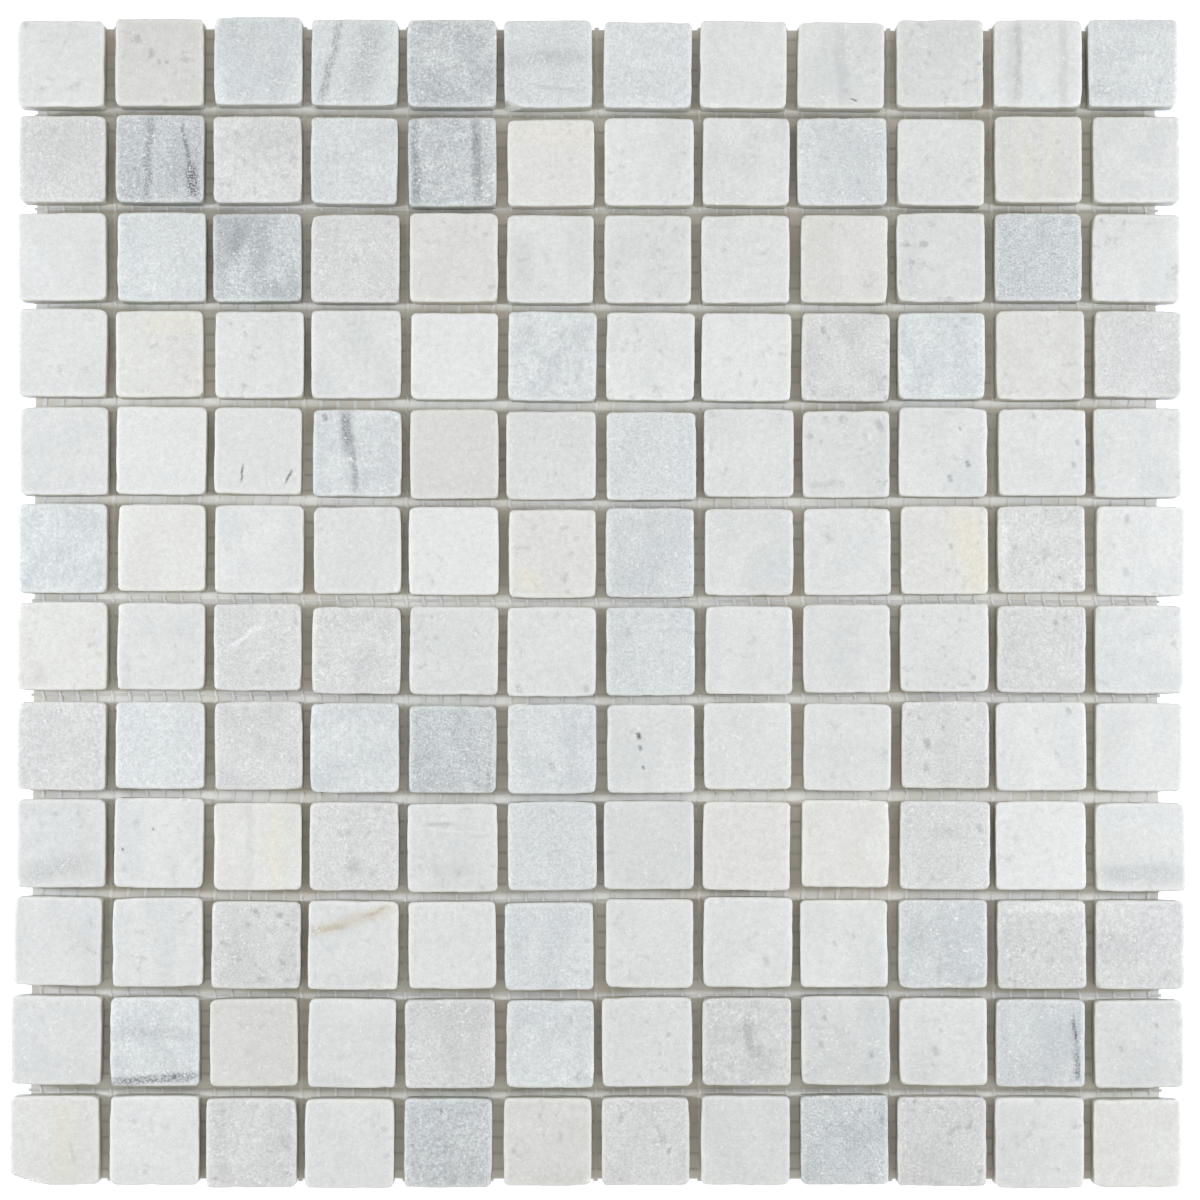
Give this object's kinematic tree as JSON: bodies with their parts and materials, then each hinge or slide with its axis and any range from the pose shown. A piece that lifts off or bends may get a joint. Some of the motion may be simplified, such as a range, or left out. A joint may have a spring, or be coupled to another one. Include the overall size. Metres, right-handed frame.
{
  "type": "mosaic tile sheet",
  "caption": "Square sheet of small tumbled white marble chips, laid in straight rows with open joints on a flat glass-fibre mesh.",
  "frame": {"origin": "middle of the sheet's back, on the plane of the mesh's lower yarns", "axes": "+Z out of the chips' faces, +X along the rows, +Y towards the first row"},
  "size_m": [0.3039, 0.3037, 0.008],
  "materials": {
    "marble": "tumbled and honed",
    "glass_fibre": "coated open mesh"
  },
  "bodies": {
    "root": {"chip_row_01": "marble", "chip_row_02": "marble", "chip_row_03": "marble", "chip_row_04": "marble", "chip_row_05": "marble", "chip_row_06": "marble", "chip_row_07": "marble", "chip_row_08": "marble", "chip_row_09": "marble", "chip_row_10": "marble", "chip_row_11": "marble", "chip_row_12": "marble", "mesh_weft": "glass_fibre", "mesh_warp": "glass_fibre"}
  },
  "joints": []
}
